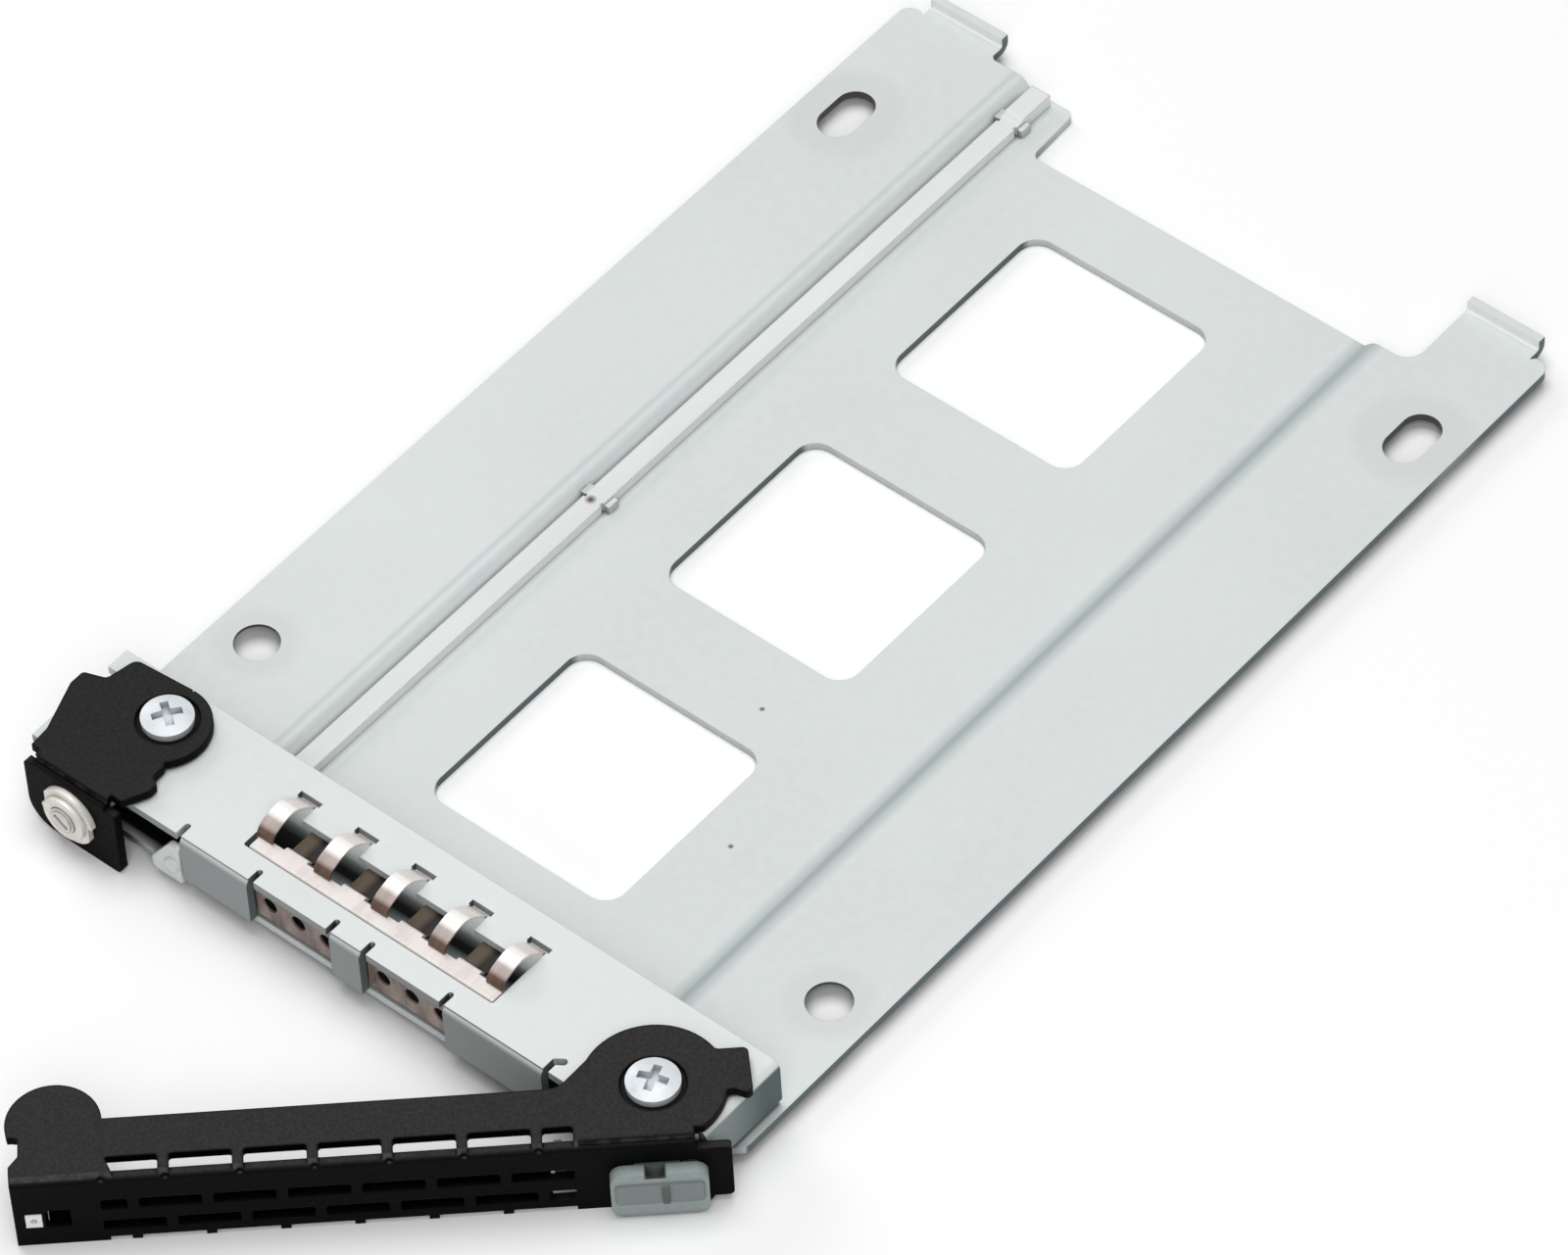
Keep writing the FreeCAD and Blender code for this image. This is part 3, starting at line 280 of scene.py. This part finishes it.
class Shade:
    """Builds one material round a principled shader, with lengths in millimetres."""

    def __init__(self, name, base, metallic, rough, specular=0.5):
        self.mat = bpy.data.materials.new(name)
        self.mat.use_nodes = True
        self.tree = self.mat.node_tree
        self.bsdf = self.tree.nodes["Principled BSDF"]
        self.give("Base Color", base)
        self.give("Metallic", metallic)
        self.give("Roughness", rough)
        self.give("Specular IOR Level", specular)
        self.coord = self.node("TexCoord", {})

    def node(self, kind, values, **settings):
        return add_node(self.tree, kind, values, **settings)

    def give(self, slot, value):
        """Give the shader's slot a value or the result of a node."""
        put(self.tree, self.bsdf.inputs[slot], value)

    def soft_edges(self, radius):
        """Round the edges in the shading. Comes before relief."""
        bevel = self.node("Bevel", {"Radius": radius * MM}, samples=6)
        self.normal = bevel.outputs[0]
        self.give("Normal", self.normal)

    def relief(self, height, depth, strength):
        values = {"Height": height, "Distance": depth * MM, "Strength": strength, "Normal": self.normal}
        self.give("Normal", self.node("Bump", values).outputs[0])

    def noise(self, scale, detail, stretch=(1, 1, 1)):
        mapping = self.node("Mapping", {"Vector": self.coord.outputs["Object"], "Scale": stretch})
        values = {"Vector": mapping.outputs[0], "Scale": scale, "Detail": detail, "Roughness": 0.55}
        return self.node("TexNoise", values).outputs["Fac"]

    def span(self, value, first, last, low=0.3, high=0.7):
        """From first at low to last at high, and level beyond them."""
        values = {"Value": value, "From Min": low, "From Max": high, "To Min": first, "To Max": last}
        return self.node("MapRange", values).outputs[0]

    def ramp(self, value, low, high, tones):
        """From the first tone at low to the second at high."""
        node = self.node("ValToRGB", {0: value})
        for stop, place, tone in zip(node.color_ramp.elements, (low, high), tones):
            stop.position = place
            stop.color = (*tone, 1)
        return node.outputs[0]

    def mix(self, share, first, second):
        """Colour that goes from first to second as share goes from 0 to 1."""
        values = {0: share, 6: first, 7: second}
        return self.node("Mix", values, data_type="RGBA").outputs[2]

    def math(self, operation, first, second):
        return self.node("Math", {0: first, 1: second}, operation=operation).outputs[0]

    def times(self, first, second):
        return self.math("MULTIPLY", first, second)

    def most(self, first, second):
        return self.math("MAXIMUM", first, second)

    def vector(self, operation, output, way):
        """Distance or dot product of a texture coordinate and a fixed vector."""
        values = {0: self.coord.outputs[output], 1: way}
        return self.node("VectorMath", values, operation=operation).outputs["Value"]

    def facing(self, way, low, high):
        """0 to 1 as the surface turns towards a direction, between two cosines."""
        return self.span(self.vector("DOT_PRODUCT", "Normal", way), 0.0, 1.0, low, high)

    def along(self, way, low, high):
        """0 to 1 between two places along a direction."""
        return self.span(self.vector("DOT_PRODUCT", "Object", way), 0.0, 1.0, low * MM, high * MM)

    def past(self, way, place, blend):
        """1 beyond a place along a direction and 0 before it."""
        return self.along(way, place - blend, place + blend)

    def before(self, way, place, blend):
        """1 before a place along a direction and 0 beyond it."""
        return self.along(way, place + blend, place - blend)

    def inside(self, way, places, blend):
        """1 between two places along a direction."""
        return self.times(self.past(way, places[0], blend), self.before(way, places[1], blend))

    def outside(self, way, places, blend):
        """1 beyond two places along a direction."""
        return self.most(self.before(way, places[0], blend), self.past(way, places[1], blend))

    def near(self, spot, inner, outer):
        """1 at a spot and 0 away from it."""
        distance = self.vector("DISTANCE", "Object", toned(spot, MM))
        return self.span(distance, 1.0, 0.0, inner * MM, outer * MM)

    def repeat(self, way, first, pitch, low, high):
        """0 to 1 between two parts of each repeat along a direction."""
        start = self.math("SUBTRACT", self.vector("DOT_PRODUCT", "Object", way), first * MM)
        part = self.math("FLOORED_MODULO", self.math("DIVIDE", start, pitch * MM), 1.0)
        return self.span(part, 0.0, 1.0, low, high)

    def cavity(self, reach, closed, opened):
        """1 in a closed corner and 0 on an open face."""
        node = self.node("AmbientOcclusion", {"Distance": reach * MM}, samples=8)
        return self.span(node.outputs["AO"], 1.0, 0.0, closed, opened)

    def rim(self, radius):
        """1 on the edges, where the rounded normal leaves the flat one."""
        bevel = self.node("Bevel", {"Radius": radius * MM}, samples=6)
        flat = self.node("NewGeometry", {}).outputs["Normal"]
        turn = self.node("VectorMath", {0: bevel.outputs[0], 1: flat}, operation="DOT_PRODUCT")
        return self.span(turn.outputs["Value"], 1.0, 0.0, 0.75, 0.99)


def zinc(name, base):
    """Zinc-plated sheet: soft clouds, fine flecks and painted shade on the faces that face right."""
    rough = 0.46
    s = Shade(name, base, metallic=0.04, rough=rough, specular=0.12)
    s.soft_edges(0.12)
    clouds = s.noise(scale=22, detail=3)
    colour = s.ramp(clouds, 0.35, 0.65, (toned(base, 0.96), toned(base, 1.04)))
    flecks = s.span(s.noise(scale=900, detail=2), 0.0, 0.5, 0.35, 0.75)
    colour = s.mix(flecks, colour, toned(base, 1.06))
    # Painted shade: faces that face right are darkened, outside the channel
    edges = s.times(s.facing(RIGHT, 0.85, 0.98), s.outside(RIGHT, CHANNEL, 0.3))
    colour = s.mix(edges, colour, ZINC_SIDE_SHADE)
    grain = s.noise(scale=2600, detail=2, stretch=(1.0, 0.35, 1.0))
    s.give("Roughness", s.span(grain, rough - 0.05, rough + 0.07))
    s.relief(grain, depth=0.008, strength=0.35)
    return s, colour


def hole_shading(s, colour):
    """Painted soft grey shade ring round each drive hole and slot. Also gives the mask of their walls.
    """
    walls = 0.0
    for x in (-HOLE_SPAN / 2, HOLE_SPAN / 2):
        for y, radius in ((0.0, HOLE_R), (HOLE_RUN, SLOT_R)):
            # Painted shade ring round this hole
            shade_ring = s.near((x, y, 0), radius + 0.9, radius + 2.4)
            colour = s.mix(s.times(shade_ring, 0.35), colour, HOLE_RING_SHADE)
            walls = s.most(s.near((x, y, 0), radius + 0.4, radius + 0.6), walls)
    for way in (UP, DOWN):
        walls = s.times(walls, s.facing(way, 0.8, 0.4))
    return colour, walls


def zinc_tray():
    """Plate with painted shade on the joggles, round and in the holes, in corners and in the room under
    the bridge, a painted lit strip in that room, and painted light on the lips.
    """
    s, colour = zinc("zinc_tray", ZINC_PLATE)
    # Painted shade along the joggles
    for band in JOGGLE_SHADE_BANDS:
        mask = s.inside(RIGHT, (band["from_x"], band["to_x"]), band["blend"])
        colour = s.mix(s.times(mask, band["share"]), colour, JOGGLE_SHADE)
    colour, walls = hole_shading(s, colour)
    # Painted shade on the hole walls
    colour = s.mix(walls, colour, HOLE_WALL_SHADE)
    for x, y in SPECKS:
        colour = s.mix(s.near((x, y, -PANEL_DROP), 0.12, 0.3), colour, SPECK)
    # Painted light on the rear lips where they face front
    lips = s.times(s.facing(FRONT, 0.2, 0.8), s.past(BACK, LIP_START, 0.5))
    colour = s.mix(lips, colour, LIP_LIGHT)
    # Painted shade: near-black room under the bridge and below the slot
    room = s.times(s.inside(BACK, ROOM_Y, 0.6), s.inside(RIGHT, ROOM_X, 0.6))
    below_slot = s.times(s.inside(BACK, SLOT_ROOM_Y, 1.2), s.inside(RIGHT, SLOT_ROOM_X, 1.2))
    room = s.times(s.most(room, below_slot), s.facing(UP, 0.3, 0.8))
    # Painted light on a strip under the spring fingers
    strip = s.times(s.inside(BACK, STRIP_Y, 0.4), s.inside(RIGHT, STRIP_X, 0.3))
    plain = s.most(s.most(room, lips), walls)
    # Painted shade in corners, left off where the room, lips and hole walls get their own paint
    tray_corner_shade = s.times(s.cavity(4.5, 0.12, 0.62), s.math("SUBTRACT", 1.0, plain))
    colour = s.mix(tray_corner_shade, colour, ZINC_CORNER_SHADE)
    s.give("Base Color", s.mix(room, colour, s.mix(strip, DEEP_SHADE_BLACK, ROOM_STRIP_LIGHT)))
    s.give("Metallic", s.span(room, 0.04, 0.0, 0.0, 1.0))
    return s.mat


def zinc_bridge():
    """Bridge with painted shade on its right flange, its front panels, its underside and its corners."""
    s, colour = zinc("zinc_bridge", ZINC_BRIDGE)
    # Painted shade on the right flange, darker towards the back
    flange = s.times(s.facing(RIGHT, 0.85, 0.98), s.past(RIGHT, FLANGE_X, 0.25))
    colour = s.mix(flange, colour, s.mix(s.along(BACK, *FLANGE_FADE), FLANGE_SHADE_FRONT, FLANGE_SHADE_BACK))
    # Painted shade on the front-facing panels
    panels = s.times(s.facing(FRONT, 0.7, 0.97), s.before(BACK, PANEL_Y, 0.5))
    colour = s.mix(panels, colour, ZINC_FRONT_SHADE)
    # Painted shade on faces that face down
    colour = s.mix(s.facing(DOWN, 0.5, 0.9), colour, UNDERSIDE_SHADE)
    # Painted shade in corners
    s.give("Base Color", s.mix(s.cavity(3.0, 0.1, 0.5), colour, ZINC_CORNER_SHADE))
    return s.mat


def powder(name, base, fold=None, rough=0.55, rim=0.4, specular=0.05):
    """Black powder coat: fine grit, painted shade on faces that don't face up, in corners and on the
    rims, and a painted highlight along the fold.
    """
    s = Shade(name, base, metallic=0.0, rough=rough, specular=specular)
    s.soft_edges(0.25)
    grit = s.noise(scale=3800, detail=3)
    colour = s.ramp(grit, 0.38, 0.66, (toned(base, 0.85), toned(base, 1.4)))
    # Painted shade on faces that don't face up
    colour = s.mix(s.facing(UP, 0.75, 0.25), colour, toned(base, 0.02))
    # Painted shade in corners
    colour = s.mix(s.cavity(2.5, 0.35, 0.85), colour, CAVITY_SHADE)
    if fold:
        # Painted highlight in patches along the fold
        patches = s.span(s.noise(scale=900, detail=3), 0.2, 1.0, 0.4, 0.6)
        colour = s.mix(s.times(s.facing(fold, 0.955, 0.99), patches), colour, toned(base, 2.6))
    # Painted shade on the rims
    s.give("Base Color", s.mix(s.rim(rim), colour, RIM_SHADE))
    s.give("Roughness", s.span(grit, rough - 0.08, rough + 0.10))
    s.relief(grit, depth=0.02, strength=0.45)
    return s.mat


def bright(name, base, rough, scale=1500, spots=0.10, metallic=0.6, reach=1.5, corner_shade_gain=0.05):
    """Bright metal with faint spots and painted shade in its corners."""
    s = Shade(name, base, metallic=metallic, rough=rough)
    s.soft_edges(0.06)
    grain = s.noise(scale=scale, detail=3)
    colour = s.ramp(grain, 0.3, 0.7, (toned(base, 1 - spots), base))
    # Painted shade in corners
    s.give("Base Color", s.mix(s.cavity(reach, 0.3, 0.8), colour, toned(base, corner_shade_gain)))
    s.give("Roughness", s.span(grain, rough * 0.7, rough * 1.5))
    s.relief(grain, depth=0.006, strength=0.4)
    return s.mat


def lock_metal(name, base, rough, metallic, corner_shade_gain):
    return bright(name, base, rough, scale=700, spots=0.15, metallic=metallic, reach=0.5, corner_shade_gain=corner_shade_gain)


def spring_sheet():
    """Rolled strip: pale on top, painted shade where a finger or tongue comes down, below the band,
    inside the arches and in corners, and a painted highlight on the crests.
    """
    s = Shade("spring_sheet", SPRING_BASE, metallic=0.12, rough=0.3, specular=0.3)
    s.soft_edges(0.05)
    grain = s.noise(scale=700, detail=3, stretch=(1, 0.25, 0.25))
    colour = s.ramp(grain, 0.3, 0.7, SPRING_PALE)
    arch = s.past(UP, BAND_TOP, 0.05)
    # Painted shade on the finger fronts, darker at their feet
    front = s.times(arch, s.times(s.before(UP, CREST, 0.1), s.before(BACK, ARCH_FRONT, 0.3)))
    colour = s.mix(front, colour, s.ramp(grain, 0.35, 0.65, SPRING_FRONT_SHADE))
    foot = s.times(front, s.before(UP, FOOT_TOP, 0.125))
    colour = s.mix(foot, colour, s.ramp(grain, 0.35, 0.65, SPRING_FOOT_SHADE))
    # Painted highlight on the crests
    colour = s.mix(s.times(arch, s.past(UP, CREST, 0.08)), colour, SPRING_CREST_HIGHLIGHT)
    # Painted shade inside the arches
    colour = s.mix(s.facing(ARCH_INSIDE, 0.0, 0.35), colour, DEEP_SHADE_BLACK)
    # Painted shade on the strip's front face below the band
    under_band = s.before(UP, BAND_UNDER, 0.15)
    wall = s.times(under_band, s.before(BACK, WALL_Y, 0.2))
    colour = s.mix(wall, colour, s.ramp(grain, 0.3, 0.7, SPRING_WALL_SHADE))
    # Painted shade on the tongues, near-black in the gaps
    gaps = s.repeat(RIGHT, FINGER_FIRST, FINGER_PITCH, *TONGUE_SHARE)
    tongues = s.times(under_band, s.past(BACK, TONGUE_Y, 0.15))
    colour = s.mix(tongues, colour, s.mix(gaps, TONGUE_SHADE, TONGUE_GAP_SHADE))
    # Painted shade in corners
    s.give("Base Color", s.mix(s.cavity(1.2, 0.1, 0.4), colour, SPRING_CORNER_SHADE))
    s.give("Roughness", s.span(grain, 0.22, 0.38))
    return s.mat


def clear_pipe():
    """Clear rod, nearly white on the plate, with painted light on its right side and painted shade in
    soft grey lines along its edges and in its corners.
    """
    s = Shade("clear_pipe", PIPE_BASE, metallic=0.0, rough=0.12)
    s.soft_edges(0.2)
    s.give("Subsurface Weight", 0.2)
    s.give("Subsurface Scale", 0.4 * MM)
    streaks = s.noise(scale=160, detail=3, stretch=(1, 0.15, 1))
    colour = s.ramp(streaks, 0.35, 0.65, PIPE_TONES)
    # Painted light on the right side
    colour = s.mix(s.facing(RIGHT, 0.5, 0.95), colour, PIPE_SIDE_LIGHT)
    # Painted shade along the edges, and below in corners
    colour = s.mix(s.times(s.rim(0.3), 0.6), colour, PIPE_EDGE_SHADE)
    colour = s.mix(s.cavity(0.5, 0.1, 0.4), colour, PIPE_CORNER_SHADE)
    s.give("Base Color", s.mix(s.near(PIPE_CLIP, 0.15, 0.6), colour, PIPE_SPECK))
    s.give("Roughness", s.span(streaks, 0.08, 0.2))
    return s.mat


def moulded(name, base, rough, edge, tones=(0.95, 1.05)):
    """Fine-grained plastic. Gives the shade, its colour and its grain."""
    s = Shade(name, base, metallic=0.0, rough=rough, specular=0.4)
    s.soft_edges(edge)
    grain = s.noise(scale=1800, detail=3)
    colour = s.ramp(grain, 0.3, 0.7, (toned(base, tones[0]), toned(base, tones[1])))
    s.give("Roughness", s.span(grain, rough - 0.06, rough + 0.08))
    return s, colour, grain


def close_moulded(s, base, colour, grain):
    """Painted shade in the corners and fine relief on a moulded piece."""
    # Painted shade in corners
    s.give("Base Color", s.mix(s.cavity(1.2, 0.3, 0.8), colour, toned(base, 0.4)))
    s.relief(grain, depth=0.012, strength=0.4)
    return s.mat


def washer_plastic():
    s, colour, grain = moulded("washer_plastic", WASHER_GREY, rough=0.5, edge=0.15, tones=(0.93, 1.06))
    return close_moulded(s, WASHER_GREY, colour, grain)


def reach_of(name, way):
    """How far a node reaches along a direction, in millimetres."""
    return max(v.co.dot(Vector(way)) for v in NODES[name].data.vertices) / MM


def button_plastic():
    """Grey button: a band a little darker, and painted shade on the rib and in the thumb scoop."""
    s, colour, grain = moulded("button_plastic", BUTTON_GREY, rough=0.5, edge=0.15)
    front = reach_of("release_button", FACE_WAY)
    top = reach_of("release_button", UP)
    colour = s.mix(s.past(FACE_WAY, front - BAND_DEPTH, 0.04), colour, toned(BUTTON_GREY, 0.68))
    # Painted shade on the rib
    colour = s.mix(s.past(FACE_WAY, front - RIB_DEPTH, 0.04), colour, toned(BUTTON_GREY, 0.28))
    # Painted shade in the thumb scoop
    scoop = s.times(s.inside(ARM_WAY, SCOOP, 0.1), s.past(UP, top - SCOOP_DEPTH, 0.03))
    return close_moulded(s, BUTTON_GREY, s.mix(scoop, colour, SCOOP_SHADE), grain)


def window_plastic():
    """White window plastic, with painted shade behind the face it is pressed into."""
    s, colour, _ = moulded("window_plastic", WINDOW_WHITE, rough=0.3, edge=0.1)
    front = reach_of("light_window", FACE_WAY)
    # Painted shade behind the face
    s.give("Base Color", s.mix(s.before(FACE_WAY, front - WINDOW_DEPTH, 0.15), colour, DEEP_SHADE_BLACK))
    return s.mat


def make_looks():
    """Material of each node that isn't plain steel."""
    screw = bright("screw_zinc", SCREW_ZINC, 0.34, 1200, spots=0.08, metallic=0.08, reach=0.7, corner_shade_gain=0.55)
    washer = washer_plastic()
    return {
        "tray_plate": zinc_tray(),
        "front_bridge": zinc_bridge(),
        "spring_finger_strip": spring_sheet(),
        # The vent screen takes the painted-shade black, so the lower vent rows read as shade
        "vent_screen": powder("screen_black", DEEP_SHADE_BLACK, rough=0.8, rim=0.3, specular=0.02),
        "foot_rivets": bright("rivet_steel", RIVET_STEEL, 0.3),
        "light_pipe": clear_pipe(),
        "pull_handle": powder("powder_handle", HANDLE_BLACK, fold=between(FACE_WAY, UP)),
        "corner_hook": powder("powder_hook", HOOK_BLACK, fold=between(FRONT, UP)),
        "release_button": button_plastic(),
        "light_window": window_plastic(),
        "lock_barrel": lock_metal("lock_plate", LOCK_PLATE, rough=0.24, metallic=0.08, corner_shade_gain=0.3),
        "lock_core": lock_metal("core_metal", LOCK_CORE, rough=0.25, metallic=0.1, corner_shade_gain=0.15),
        "handle_washer": washer,
        "hook_washer": washer,
        "handle_screw": screw,
        "hook_screw": screw,
    }


def dress():
    looks = make_looks()
    steel = bright("plain_steel", STEEL, 0.32)
    for name, node in NODES.items():
        look = looks.get(name, steel)
        slots = node.data.materials
        if not len(slots):
            slots.append(look)
        for i in range(len(slots)):
            slots[i] = look


make_camera()
make_studio()
dress()
bpy.context.scene.view_settings.view_transform = "Standard"
